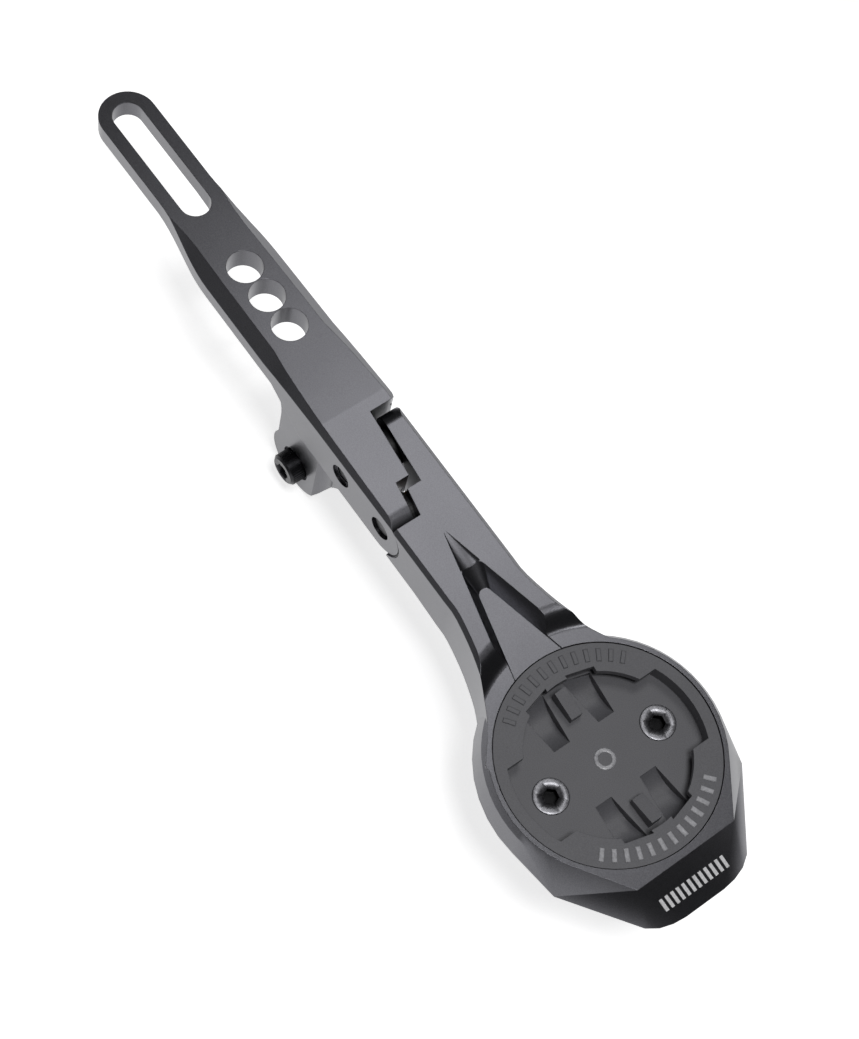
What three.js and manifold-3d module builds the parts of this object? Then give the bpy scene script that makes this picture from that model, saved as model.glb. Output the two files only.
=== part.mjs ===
// Out-front computer mount for a one-piece handlebar: a slotted rear arm, a tilting front arm
// and a quarter-turn insert. Millimetres, +X forward, +Y to the rider's left, +Z up.
// The origin is the middle of the insert's floor, on the axis the computer turns about.
import * as THREE from 'three';
import { mergeVertices } from 'three/addons/utils/BufferGeometryUtils.js';
import { ConvexGeometry } from 'three/addons/geometries/ConvexGeometry.js';
import Module from 'manifold-3d';

const wasm = await Module();
wasm.setup();

// ---- driving dimensions -------------------------------------------------------------------
// Arms
const ARM_HALF_WIDTH = 6.7;
const FRONT_OFFSET = -0.4; // the front arm's middle line, towards the near side
const ARM_TOP = 5.0; // top faces of hinge block and front arm
const HINGE_THICKNESS = 9.3;
const EDGE_CHAMFER = 0.65;
const UNDER_CHAMFER = 1.9;
const TAIL_SLOPE = THREE.MathUtils.degToRad(2); // the tail falls away behind the crease
const CREASE_X = -64.7;
// Tail
const TAB_HALF_WIDTH = 4.75;
const TAB_THICKNESS = 3.4;
const TAIL_THICKNESS = 4.7;
const TAIL_CHAMFER = 1.95;
const SLOT_WIDTH = 5.1;
const SLOT_REAR_X = -126.4;
const SLOT_FRONT_X = -107.4;
const HOLE_DIAMETER = 5.85;
const HOLE_PITCH = 6.05;
const HOLE_FIRST_X = -93.6;
// Tilt hinge
const PIVOT_X = -47.5;
const LOCK_PITCH = 10.2; // lock screw to pivot
const TILT_RANGE = THREE.MathUtils.degToRad(6); // to each side of level
const PIN_DIAMETER = 4.0;
const BUSHING_WALL = 0.7;
const RUN_CLEARANCE = 0.05; // radial, where parts turn on each other
const SET_CLEARANCE = 0.02; // radial, where parts are fixed together
// Lug fork under the hinge block
const LUG_X = -68.4;
const LUG_DROP = 20.5; // screw axis below the arm's top
const LUG_RADIUS = 6.0;
const FORK_GAP = 4.4;
const FORK_DEPTH = 14.0;
// M3 hardware
const M3_DIAMETER = 3.0;
const M3_HEAD_DIAMETER = 5.5;
const M3_HEAD_HEIGHT = 3.0;
const M3_LOW_HEAD_HEIGHT = 2.0;
const M3_SOCKET = 2.5; // hexagon across flats
const M3_COUNTERSUNK_SOCKET = 2.3;
const M3_NUT_FLATS = 5.5;
const M3_NUT_HEIGHT = 2.4;
// Quarter-turn insert
const INSERT_RADIUS = 17.0;
const INSERT_LIP_TOP = 2.8; // lip's top face above the floor
const LIP_THICKNESS = 1.2;
const INSERT_BASE = 3.18; // floor's thickness
const LIP_WIDTH = 4.4; // from the insert's edge in to its bore
const LOBE_WALL = 1.8; // left outside the lobes
const LOBE_HALF_WIDTH = 6.4;
const SCREW_SPACING = 20.1;
// Head of the front arm
const HEAD_FLOOR = 2.4; // metal left under the insert
const RIM_TOP = 2.95;
const RIM_WIDTH = 0.85; // flat ring round the insert
const HEAD_WALL = 2.2; // round the insert at its widest, above the underside
const NOSE_LENGTH = 5.7; // ahead of the round head

// ---- derived sizes ------------------------------------------------------------------------
const FRONT_HALF_WIDTH = ARM_HALF_WIDTH - 0.25;
const LUG_HALF_WIDTH = ARM_HALF_WIDTH - 0.6;
const BORE_RADIUS = INSERT_RADIUS - LIP_WIDTH;
const LOBE_RADIUS = INSERT_RADIUS - LOBE_WALL;
const RIM_RADIUS = INSERT_RADIUS + RIM_WIDTH;
const HEAD_RADIUS = INSERT_RADIUS + HEAD_WALL;
const NOSE_REACH = HEAD_RADIUS + NOSE_LENGTH;
const NOSE_CORNER = { x: RIM_RADIUS + 0.35, y: HEAD_RADIUS - 10.2 }; // end of the top face
const HINGE_Z = ARM_TOP - HINGE_THICKNESS / 2;
const HINGE_BOTTOM = ARM_TOP - HINGE_THICKNESS;
const EAR_RADIUS = HINGE_THICKNESS / 2;
const LOCK_X = PIVOT_X - LOCK_PITCH;
const NOTCH_X = LOCK_X - 4.9; // wall of the rear arm's notch
const FAR_EAR_X = NOTCH_X + 0.75; // end of the front arm's ear
const STEP_X = PIVOT_X - 3.4; // rear arm's middle face
const STEP_GAP = 1.7;
const LIP_X = PIVOT_X + 2.8; // front arm's socket lip
const EAR_FACE = FRONT_OFFSET + FRONT_HALF_WIDTH; // outer side of the front arm's ear
const EAR_SWING = Math.sin(TILT_RANGE) * (PIVOT_X - FAR_EAR_X) + 0.5; // ear's end, down
const SOCKET_RADIUS = EAR_RADIUS + 0.4;
const LUG_Z = ARM_TOP - LUG_DROP;
const FORK_TOP = LUG_Z - LUG_RADIUS + FORK_DEPTH;
const HEAD_POCKET_Z = -INSERT_BASE - SET_CLEARANCE;
const HEAD_BOTTOM = HEAD_POCKET_Z - HEAD_FLOOR;
const HEAD_EDGE_Z = HEAD_BOTTOM + 3.0; // the head's widest outline
const POCKET_RADIUS = INSERT_RADIUS + 0.12;
const PIN_RADIUS = PIN_DIAMETER / 2;
const BUSHING_BORE = PIN_RADIUS + RUN_CLEARANCE;
const BUSHING_RADIUS = BUSHING_BORE + BUSHING_WALL;
const M3_RADIUS = M3_DIAMETER / 2;
const M3_HEAD_RADIUS = M3_HEAD_DIAMETER / 2;
const PIN_INSET = 0.45; // pin ends below the arm's sides
const SPACER_RADIUS = 3.2;

// Faces of the stepped hinge joint, in y, at the rear and front end of each sloping face
const TONGUE = { rear: 1.7, front: 0.5 };
const NEAR_EAR = { rear: -1.9, front: -2.75 };
const JOINT_GAP = 1.0;
// Flat seats cut into those faces for the washers
const LOCK_SEAT = { rearArm: 0.8, frontArm: 2.8 };
const PIVOT_SEAT = { rearArm: -2.9, frontArm: -1.0 };

// ---- shapes -------------------------------------------------------------------------------
const shapeFrom = (points) => new THREE.Shape(points.map(([a, b]) => new THREE.Vector2(a, b)));

// Smooth open line through a few points
function smooth(points, steps) {
  const curve = new THREE.SplineCurve(points.map(([a, b]) => new THREE.Vector2(a, b)));
  return curve.getPoints(steps).map((p) => [p.x, p.y]);
}

// Outline seen from above, raised between two heights
function plan(points, z0, z1, bevel = 0) {
  const options = { depth: z1 - z0 - 2 * bevel, bevelEnabled: bevel > 0, curveSegments: 24 };
  const edge = { bevelThickness: bevel, bevelSize: bevel, bevelOffset: -bevel, bevelSegments: 1 };
  const geometry = new THREE.ExtrudeGeometry(shapeFrom(points), { ...options, ...edge });
  return geometry.translate(0, 0, z0 + bevel);
}

// Outline seen from the side, as x and z, stretched between two y values
function profile(shape, y0, y1) {
  const options = { depth: y1 - y0, bevelEnabled: false, curveSegments: 12 };
  const geometry = new THREE.ExtrudeGeometry(shape, options);
  return geometry.rotateX(Math.PI / 2).translate(0, y1, 0);
}

function block(x0, x1, y0, y1, z0, z1) {
  const geometry = new THREE.BoxGeometry(x1 - x0, y1 - y0, z1 - z0);
  return geometry.translate((x0 + x1) / 2, (y0 + y1) / 2, (z0 + z1) / 2);
}

function postZ(x, y, radius, z0, z1, segments = 40) {
  const geometry = new THREE.CylinderGeometry(radius, radius, z1 - z0, segments);
  return geometry.rotateX(Math.PI / 2).translate(x, y, (z0 + z1) / 2);
}

function postY(x, z, radius, y0, y1, segments = 40) {
  const geometry = new THREE.CylinderGeometry(radius, radius, y1 - y0, segments);
  return geometry.translate(x, (y0 + y1) / 2, z);
}

// Hexagonal bar along Y, given across its flats
function hexY(x, z, flats, y0, y1) {
  const radius = flats / 2 / Math.cos(Math.PI / 6);
  return postY(x, z, radius, y0, y1, 6);
}

function hull(points) {
  return new ConvexGeometry(points.map(([x, y, z]) => new THREE.Vector3(x, y, z)));
}

function ringPoints(radius, z, count, angle0 = 0, angle1 = 2 * Math.PI) {
  const points = [];
  for (let i = 0; i <= count; i += 1) {
    const angle = angle0 + ((angle1 - angle0) * i) / count;
    points.push([radius * Math.cos(angle), radius * Math.sin(angle), z]);
  }
  return points;
}

// ---- solids -------------------------------------------------------------------------------
function solid(geometry) {
  geometry.deleteAttribute('normal');
  geometry.deleteAttribute('uv');
  const merged = mergeVertices(geometry, 1e-5);
  const vertProperties = new Float32Array(merged.attributes.position.array);
  const triVerts = new Uint32Array(merged.index.array);
  return new wasm.Manifold(new wasm.Mesh({ numProp: 3, vertProperties, triVerts }));
}

const join = (...geometries) => geometries.map(solid).reduce((a, b) => a.add(b));
const cut = (body, ...geometries) => geometries.map(solid).reduce((a, b) => a.subtract(b), body);

function piece(name, body, look) {
  const mesh = body.getMesh();
  const geometry = new THREE.BufferGeometry();
  geometry.setAttribute('position', new THREE.BufferAttribute(mesh.vertProperties, 3));
  geometry.setIndex(new THREE.BufferAttribute(mesh.triVerts, 1));
  geometry.computeVertexNormals();
  const part = new THREE.Mesh(geometry, new THREE.MeshStandardMaterial(look));
  part.name = name;
  return part;
}

const ANODISED = { color: 0x2b2c2f, roughness: 0.45, metalness: 0.8 };
const NYLON = { color: 0x2a2b2d, roughness: 0.6, metalness: 0.0 };
const STEEL = { color: 0xa8a8aa, roughness: 0.4, metalness: 1.0 };
const BLACK_STEEL = { color: 0x1c1c1e, roughness: 0.45, metalness: 0.9 };
const BRONZE = { color: 0x9a7640, roughness: 0.45, metalness: 1.0 };
const ACETAL = { color: 0xd8d6cf, roughness: 0.55, metalness: 0.0 };

// ---- rear arm -----------------------------------------------------------------------------
const tailTop = (x) => ARM_TOP - Math.max(0, CREASE_X - x) * Math.tan(TAIL_SLOPE);

const TAIL_END_X = SLOT_REAR_X - TAB_HALF_WIDTH;
const SHOULDER_X = SLOT_FRONT_X - 3;
const BODY_X = SHOULDER_X + 16;

// Half of the tail's outline: straight tab, S-shaped shoulder, then the body
function tailHalfWidth(x) {
  const t = THREE.MathUtils.clamp((x - SHOULDER_X) / (BODY_X - SHOULDER_X), 0, 1);
  const body = THREE.MathUtils.clamp((x - BODY_X) / (CREASE_X - BODY_X), 0, 1);
  const shoulder = t * t * (3 - 2 * t);
  const full = ARM_HALF_WIDTH - 0.25 + 0.25 * body;
  return TAB_HALF_WIDTH + (full - TAB_HALF_WIDTH) * shoulder;
}

// Width of the sloping edge face beside the top: full at the holes, thin at the hinge
function edgeFace(x) {
  const holesEnd = HOLE_FIRST_X + 2 * HOLE_PITCH + 4;
  const rise = THREE.MathUtils.clamp((x - SHOULDER_X - 3) / 12, 0, 1);
  const fall = THREE.MathUtils.clamp((x - holesEnd) / (CREASE_X - holesEnd), 0, 1);
  const tip = THREE.MathUtils.clamp((x - CREASE_X) / (LIP_X - CREASE_X), 0, 1);
  const wide = TAIL_CHAMFER + (0.95 - TAIL_CHAMFER) * Math.sqrt(fall);
  return Math.sin((rise * Math.PI) / 2) * (wide + (EDGE_CHAMFER - wide) * tip);
}

function rearOutline() {
  const stations = [];
  for (let x = SHOULDER_X; x <= BODY_X + 0.01; x += (BODY_X - SHOULDER_X) / 10) stations.push(x);
  stations.push(CREASE_X);
  const side = stations.map((x) => [x, tailHalfWidth(x)]);
  const end = ringPoints(TAB_HALF_WIDTH, 0, 20, Math.PI / 2, (3 * Math.PI) / 2);
  const outline = side.map(([x, y]) => [x, -y]);
  outline.push([PIVOT_X + EAR_RADIUS + 0.5, -ARM_HALF_WIDTH]);
  outline.push([PIVOT_X + EAR_RADIUS + 0.5, NEAR_EAR.front]);
  outline.push([LIP_X - 0.7, NEAR_EAR.front], [STEP_X, NEAR_EAR.rear], [STEP_X, TONGUE.front]);
  outline.push([NOTCH_X, TONGUE.rear], [NOTCH_X, ARM_HALF_WIDTH - 1.0]);
  outline.push([NOTCH_X - 0.3, ARM_HALF_WIDTH - 0.3], [NOTCH_X - 1.0, ARM_HALF_WIDTH]);
  outline.push(...side.reverse());
  outline.push(...end.map(([x, y]) => [x + SLOT_REAR_X, y]));
  return outline;
}

// Side view of the rear arm without its lug: thin tab, body, deep hinge block, round ear
function rearProfile() {
  const shape = new THREE.Shape();
  const body = SLOT_FRONT_X + 9;
  shape.moveTo(TAIL_END_X - 1, tailTop(TAIL_END_X - 1));
  shape.lineTo(TAIL_END_X - 1, tailTop(TAIL_END_X - 1) - TAB_THICKNESS);
  shape.lineTo(SHOULDER_X, tailTop(SHOULDER_X) - TAB_THICKNESS);
  shape.lineTo(body, tailTop(body) - TAIL_THICKNESS);
  shape.lineTo(LUG_X - 8, tailTop(LUG_X - 8) - TAIL_THICKNESS);
  shape.lineTo(LUG_X, HINGE_BOTTOM);
  shape.lineTo(PIVOT_X, HINGE_BOTTOM);
  shape.absarc(PIVOT_X, HINGE_Z, EAR_RADIUS, -Math.PI / 2, Math.PI / 2, false);
  shape.lineTo(CREASE_X, ARM_TOP);
  return shape;
}

// The lug drops from the hinge block to a round end about its screw
function lugProfile() {
  const shape = new THREE.Shape();
  const corner = new THREE.Vector2(LOCK_X - 1.6, HINGE_BOTTOM - 3.4);
  const toCorner = corner.clone().sub(new THREE.Vector2(LUG_X, LUG_Z));
  const touch = toCorner.angle() - Math.acos(LUG_RADIUS / toCorner.length());
  const rear = LUG_X - LUG_RADIUS;
  const under = tailTop(rear - 4) - TAIL_THICKNESS;
  const neck = 0.85; // the lug is this much narrower above its round end
  const start = Math.PI - Math.acos((LUG_RADIUS - neck) / LUG_RADIUS);
  const bend = HINGE_BOTTOM - 0.5;
  shape.moveTo(rear - 4.2, under + 0.6);
  shape.quadraticCurveTo(rear + neck, under - 0.5, rear + neck, under - 6.5);
  shape.lineTo(LUG_X + LUG_RADIUS * Math.cos(start), LUG_Z + LUG_RADIUS * Math.sin(start));
  shape.absarc(LUG_X, LUG_Z, LUG_RADIUS, start, 2 * Math.PI + touch, false);
  shape.lineTo(corner.x, corner.y);
  shape.bezierCurveTo(corner.x + 1.2, bend - 1.0, corner.x + 2.0, bend, corner.x + 5, bend + 1.0);
  shape.lineTo(corner.x, ARM_TOP - 2);
  shape.lineTo(rear - 2, under + 1.5);
  return shape;
}

// Sloping face along one top edge, cut in straight runs
function edgeCuts(side, x0, x1, count) {
  const cuts = [];
  const section = (x) => {
    const size = Math.max(edgeFace(x), 0.01);
    const y = tailHalfWidth(x);
    const top = tailTop(x);
    const inner = [x, side * (y - size - 0.6), top + 0.6];
    return [inner, [x, side * (y + 0.6), top - size - 0.6], [x, side * (y + 0.8), top + 0.8]];
  };
  for (let i = 0; i < count; i += 1) {
    const a = x0 + ((x1 - x0) * i) / count;
    const b = x0 + ((x1 - x0) * (i + 1)) / count;
    cuts.push(hull([...section(a), ...section(b)]));
  }
  return cuts;
}

// Room on the far side of the tongue for the front arm's ear
function earRoom() {
  const out = ARM_HALF_WIDTH + 2;
  return [[NOTCH_X, out], [NOTCH_X, TONGUE.rear], [STEP_X, TONGUE.front], [STEP_X, out]];
}

function rearArm() {
  const width = ARM_HALF_WIDTH + 1;
  const body = solid(plan(rearOutline(), LUG_Z, ARM_TOP + 1));
  const arm = body.intersect(solid(profile(rearProfile(), -width, width)));
  const solidLug = solid(profile(lugProfile(), -LUG_HALF_WIDTH, LUG_HALF_WIDTH));
  const lug = cut(solidLug, plan(earRoom(), HINGE_BOTTOM - EAR_SWING, ARM_TOP + 1));
  const slot = plan(capsule(SLOT_REAR_X, SLOT_FRONT_X, SLOT_WIDTH / 2), -20, ARM_TOP + 1);
  const holes = [0, 1, 2].map((i) => {
    const x = HOLE_FIRST_X + i * HOLE_PITCH;
    return postZ(x, 0, HOLE_DIAMETER / 2, -20, ARM_TOP + 1);
  });
  const fork = block(LUG_X - 12, LUG_X + 16, -FORK_GAP / 2, FORK_GAP / 2, LUG_Z - 20, FORK_TOP);
  const reach = ARM_HALF_WIDTH + 5;
  const side = LUG_HALF_WIDTH;
  const lugScrew = [
    postY(LUG_X, LUG_Z, M3_RADIUS + 0.15, -side - 1, side + 1, 24),
    postY(LUG_X, LUG_Z, M3_HEAD_RADIUS + 0.35, -reach, -side + 0.5),
    postZ(LUG_X + 6.9, -side - 0.9, 2.2, LUG_Z - 8, HINGE_BOTTOM - 0.4, 28),
    hexY(LUG_X, LUG_Z, M3_NUT_FLATS + 0.1, side - M3_NUT_HEIGHT - 0.2, reach),
  ];
  const hinge = [
    postY(PIVOT_X, HINGE_Z, PIN_RADIUS + SET_CLEARANCE, -reach, 0),
    postY(PIVOT_X, HINGE_Z, SPACER_RADIUS + 0.3, PIVOT_SEAT.rearArm, 0),
    postY(LOCK_X, HINGE_Z, M3_RADIUS + SET_CLEARANCE, -reach, reach, 24),
    postY(LOCK_X, HINGE_Z, PIN_RADIUS, -reach, -ARM_HALF_WIDTH + 0.5),
    postY(LOCK_X, HINGE_Z, SPACER_RADIUS + 0.3, LOCK_SEAT.rearArm, TONGUE.rear + 1),
  ];
  const edges = [
    ...edgeCuts(-1, SHOULDER_X + 3, CREASE_X, 12),
    ...edgeCuts(-1, CREASE_X, PIVOT_X + EAR_RADIUS + 1, 2),
    ...edgeCuts(1, SHOULDER_X + 3, CREASE_X, 12),
    ...edgeCuts(1, CREASE_X, NOTCH_X + 0.2, 1),
  ];
  return cut(arm.add(lug), slot, ...holes, fork, ...lugScrew, ...hinge, ...edges);
}

// Long round-ended outline along X
function capsule(x0, x1, radius) {
  const rear = ringPoints(radius, 0, 16, Math.PI / 2, (3 * Math.PI) / 2);
  const front = ringPoints(radius, 0, 16, -Math.PI / 2, Math.PI / 2);
  return [...rear.map(([x, y]) => [x + x0, y]), ...front.map(([x, y]) => [x + x1, y])];
}

// ---- front arm ----------------------------------------------------------------------------
// One side of the front arm from above: straight, then flaring out to the head
function flare() {
  return smooth([
    [PIVOT_X + 16, FRONT_HALF_WIDTH],
    [-28.9, FRONT_HALF_WIDTH + 0.05],
    [-23.9, FRONT_HALF_WIDTH + 1.05],
    [-20.0, FRONT_HALF_WIDTH + 2.2],
    [-16.9, FRONT_HALF_WIDTH + 3.4],
    [-12.9, FRONT_HALF_WIDTH + 5.7],
    [-8.5, HEAD_RADIUS - 3.4],
  ], 16);
}

// Outer outline of the front arm, run past its rear end
function frontEnvelope() {
  const side = flare();
  const end = HEAD_RADIUS - 3.4;
  const half = [[FAR_EAR_X - 6, FRONT_HALF_WIDTH], ...side, [0, end]];
  const near = half.map(([x, y]) => [x, FRONT_OFFSET - y]);
  const far = half.map(([x, y]) => [x, FRONT_OFFSET + y]);
  return [...near, ...far.reverse()];
}

// Stepped faces of the front arm's rear end
function frontSteps() {
  const rearFace = STEP_X + STEP_GAP;
  const out = 30;
  return [
    [0, -out],
    [0, out],
    [FAR_EAR_X, out],
    [FAR_EAR_X, TONGUE.rear + JOINT_GAP],
    [rearFace, TONGUE.front + JOINT_GAP],
    [rearFace, NEAR_EAR.rear + JOINT_GAP - 0.1],
    [LIP_X, NEAR_EAR.front + JOINT_GAP - 0.1],
    [LIP_X, -out],
  ];
}

function frontProfile() {
  const shape = new THREE.Shape();
  const round = 2.8;
  const x = FAR_EAR_X;
  shape.moveTo(x, ARM_TOP - round);
  shape.absarc(x + round, HINGE_BOTTOM + round, round, Math.PI, 1.5 * Math.PI, false);
  shape.lineTo(PIVOT_X + 10, HINGE_BOTTOM);
  shape.lineTo(-HEAD_RADIUS - 5, HEAD_BOTTOM);
  shape.lineTo(0, HEAD_BOTTOM);
  shape.lineTo(0, ARM_TOP);
  shape.absarc(x + round, ARM_TOP - round, round, Math.PI / 2, Math.PI, false);
  return shape;
}

// Head: round at the sides and rear, with a broad nose whose flat faces lean forward
function headBody() {
  const half = (points) => points.flatMap(([x, y, z]) => [[x, y, z], [x, -y, z]]);
  const turn = HEAD_BOTTOM + 1.1; // where the side starts to round under
  const rings = [
    ringPoints(RIM_RADIUS, RIM_TOP, 48),
    ringPoints(HEAD_RADIUS - 0.65, RIM_TOP - 1.1, 40, Math.PI * 0.36, Math.PI * 1.64),
    ringPoints(HEAD_RADIUS, HEAD_EDGE_Z, 40),
    ringPoints(HEAD_RADIUS - 0.5, turn, 40),
    ringPoints(HEAD_RADIUS - 1.9, HEAD_BOTTOM, 40),
  ];
  const corners = half([
    [NOSE_CORNER.x, NOSE_CORNER.y, RIM_TOP],
    [NOSE_REACH, 3.6, HEAD_EDGE_Z],
    [NOSE_REACH - 0.25, 5.8, HEAD_EDGE_Z],
    [NOSE_REACH - 0.9, 7.9, HEAD_EDGE_Z],
    [NOSE_REACH - 2.1, 9.7, HEAD_EDGE_Z],
    [NOSE_REACH - 13.2, HEAD_RADIUS - 1.4, HEAD_EDGE_Z],
    [NOSE_REACH - 0.6, 3.8, turn],
    [NOSE_REACH - 1.3, 7.4, turn],
    [NOSE_REACH - 2.7, 9.2, turn],
    [NOSE_REACH - 13.6, HEAD_RADIUS - 1.9, turn],
    [NOSE_REACH - 2.2, 5.6, HEAD_BOTTOM],
    [NOSE_REACH - 14.5, HEAD_RADIUS - 3.6, HEAD_BOTTOM],
  ]);
  return hull([...rings.flat(), ...corners]);
}

// Y-shaped groove: a scoop from a pointed tip, then a sloping-walled pocket down to rim level
function grooveCuts() {
  const tip = PIVOT_X + 6.4;
  const spread = 0.25;
  const over = 0.6;
  const half = (x) => spread * (x - tip);
  const floor = INSERT_LIP_TOP;
  const wall = 0.8; // sideways run of the walls for each millimetre of depth
  const rampEnd = tip + 6.4;
  const front = 3.5 - INSERT_RADIUS;
  const grow = over * wall;
  const depth = ARM_TOP - floor;
  const mid = FRONT_OFFSET;
  const both = (x, y, z) => [[x, mid + y, z], [x, mid - y, z]];
  const scoop = ringPoints(1, 0, 12, Math.PI, 2 * Math.PI).map(([c, d]) => {
    return [rampEnd + 0.6, mid + c * half(rampEnd + 0.6), ARM_TOP + 0.55 * d];
  });
  const ramp = hull([
    [tip - 0.5, mid, ARM_TOP + 0.05],
    ...both(tip + 0.6, 0.3, ARM_TOP + over),
    ...both(rampEnd + 0.6, half(rampEnd + 0.6), ARM_TOP + over),
    ...scoop,
  ]);
  const rounded = (x, radius, z) => {
    const arc = ringPoints(radius, z, 10, Math.PI * 0.56, Math.PI * 1.44);
    return arc.map(([a, b, c]) => [x + a, mid + b, c]);
  };
  const backTop = rampEnd + 1.0;
  const backFloor = rampEnd + 5.2;
  const pocket = hull([
    ...rounded(backTop, half(backTop) + grow - 0.06, ARM_TOP + over),
    ...rounded(backFloor, half(backFloor) - depth * wall - 0.04, floor),
    ...both(front, half(front) + grow, ARM_TOP + over),
    ...both(front, half(front) - depth * wall, floor),
  ]);
  return [ramp, pocket];
}

// Turned shape that takes the arm's top down to the rim along an S-shaped slope
function rimClearance() {
  const slope = smooth([[1.5, 0], [2.1, 0.12], [2.9, 0.7], [3.7, 1.35], [4.6, 1.88], [5.8, 2.05]], 12);
  const points = [[0, RIM_TOP], ...slope.map(([r, z]) => [RIM_RADIUS + r, RIM_TOP + z])];
  points.push([RIM_RADIUS + 6.0, ARM_TOP + 0.6], [0, ARM_TOP + 0.6]);
  const turned = points.map(([r, z]) => new THREE.Vector2(r, z));
  return new THREE.LatheGeometry(turned, 72).rotateX(Math.PI / 2);
}

// Slot along an arc about the pivot, in the side view
function arcSlot(radius, halfAngle, halfWidth, y0, y1) {
  const shape = new THREE.Shape();
  const centre = Math.PI;
  const a = centre - halfAngle;
  const b = centre + halfAngle;
  const at = (angle) => [PIVOT_X + radius * Math.cos(angle), HINGE_Z + radius * Math.sin(angle)];
  shape.absarc(PIVOT_X, HINGE_Z, radius + halfWidth, a, b, false);
  shape.absarc(...at(b), halfWidth, b, b + Math.PI, false);
  shape.absarc(PIVOT_X, HINGE_Z, radius - halfWidth, b, a, true);
  shape.absarc(...at(a), halfWidth, a + Math.PI, a + 2 * Math.PI, false);
  return profile(shape, y0, y1);
}

function frontArm() {
  const width = ARM_HALF_WIDTH;
  const outline = frontEnvelope();
  const lower = solid(plan(outline, HEAD_BOTTOM - 1.3, ARM_TOP - 2, UNDER_CHAMFER));
  const upper = solid(plan(outline, HEAD_BOTTOM + 3.6, ARM_TOP, EDGE_CHAMFER));
  const side = solid(profile(frontProfile(), -30, 30));
  const steps = solid(plan(frontSteps(), -30, 30));
  const arm = cut(lower.add(upper).intersect(side).intersect(steps), rimClearance());
  const body = arm.add(solid(headBody()));
  const slotAngle = TILT_RANGE + 0.01;
  const headSeat = EAR_FACE - M3_LOW_HEAD_HEIGHT - 0.15;
  const cuts = [
    ...grooveCuts(),
    postZ(0, 0, POCKET_RADIUS, HEAD_POCKET_Z, ARM_TOP + 1, 72),
    ...[-1, 1].map((s) => {
      const y = (s * SCREW_SPACING) / 2;
      return postZ(0, y, M3_RADIUS + SET_CLEARANCE, HEAD_BOTTOM - 1, 0, 24);
    }),
    postY(PIVOT_X, HINGE_Z, SOCKET_RADIUS, -width - 1, NEAR_EAR.front + JOINT_GAP - 0.1, 48),
    postY(PIVOT_X, HINGE_Z, SPACER_RADIUS + 0.3, -width - 1, PIVOT_SEAT.frontArm),
    postY(PIVOT_X, HINGE_Z, BUSHING_RADIUS + SET_CLEARANCE, -width - 1, width + 1),
    postY(LOCK_X, HINGE_Z, SPACER_RADIUS + 1.4, 0, LOCK_SEAT.frontArm),
    arcSlot(LOCK_PITCH, slotAngle, M3_RADIUS + 0.15, 0, width + 1),
    arcSlot(LOCK_PITCH, slotAngle, M3_HEAD_RADIUS + 0.1, headSeat, width + 1),
  ];
  return cut(body, ...cuts);
}

// ---- hinge hardware -----------------------------------------------------------------------
const BUSHING_END = EAR_FACE - 0.1;

function pivotPin() {
  const start = PIN_INSET - ARM_HALF_WIDTH;
  return solid(postY(PIVOT_X, HINGE_Z, PIN_RADIUS, start, EAR_FACE - PIN_INSET));
}

function tubeY(x, z, outer, inner, y0, y1) {
  return cut(solid(postY(x, z, outer, y0, y1)), postY(x, z, inner, y0 - 1, y1 + 1));
}

function pivotBushing() {
  const start = PIVOT_SEAT.frontArm;
  return tubeY(PIVOT_X, HINGE_Z, BUSHING_RADIUS, BUSHING_BORE, start, BUSHING_END);
}

function pivotWasher() {
  const { rearArm: a, frontArm: b } = PIVOT_SEAT;
  return tubeY(PIVOT_X, HINGE_Z, SPACER_RADIUS, BUSHING_BORE, a + 0.02, b - 0.05);
}

function lockWasher() {
  const { rearArm: a, frontArm: b } = LOCK_SEAT;
  return tubeY(LOCK_X, HINGE_Z, SPACER_RADIUS, M3_RADIUS + 0.1, a + 0.02, b - 0.05);
}

// Low-head screw from the far side; its threaded end shows in the near side's recess
function lockScrew() {
  const face = EAR_FACE - 0.1;
  const seat = face - M3_LOW_HEAD_HEIGHT;
  const end = -ARM_HALF_WIDTH + 0.6;
  const body = join(
    postY(LOCK_X, HINGE_Z, M3_HEAD_RADIUS, seat, face),
    postY(LOCK_X, HINGE_Z, M3_RADIUS, end, seat + 0.5, 24),
  );
  return cut(body, hexY(LOCK_X, HINGE_Z, M3_SOCKET, face - 1.2, face + 1));
}

// ---- lug hardware -------------------------------------------------------------------------
function lugScrew() {
  const seat = -LUG_HALF_WIDTH + 0.5 - 0.02;
  const face = seat - M3_HEAD_HEIGHT;
  const body = join(
    postY(LUG_X, LUG_Z, M3_HEAD_RADIUS, face, seat),
    postY(LUG_X, LUG_Z, M3_RADIUS, seat - 0.5, LUG_HALF_WIDTH, 24),
  );
  return cut(body, hexY(LUG_X, LUG_Z, M3_SOCKET, face - 1, face + 1.5));
}

function lugNut() {
  const seat = LUG_HALF_WIDTH - M3_NUT_HEIGHT - 0.18;
  const body = solid(hexY(LUG_X, LUG_Z, M3_NUT_FLATS, seat, seat + M3_NUT_HEIGHT));
  return cut(body, postY(LUG_X, LUG_Z, M3_RADIUS + SET_CLEARANCE, seat - 1, seat + 4, 24));
}

// ---- quarter-turn insert ------------------------------------------------------------------
// One sprung ramp on each side of the X axis, rising towards the lip
function detentRamp(side) {
  const x0 = side * 7.2;
  const x1 = side * (BORE_RADIUS - 0.9);
  const points = [];
  for (const y of [-1.0, 1.0]) {
    points.push([x0, y, -0.5], [x0, y, 1.5], [x1, y, 2.45], [x1, y, -0.5]);
  }
  return hull(points);
}

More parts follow.
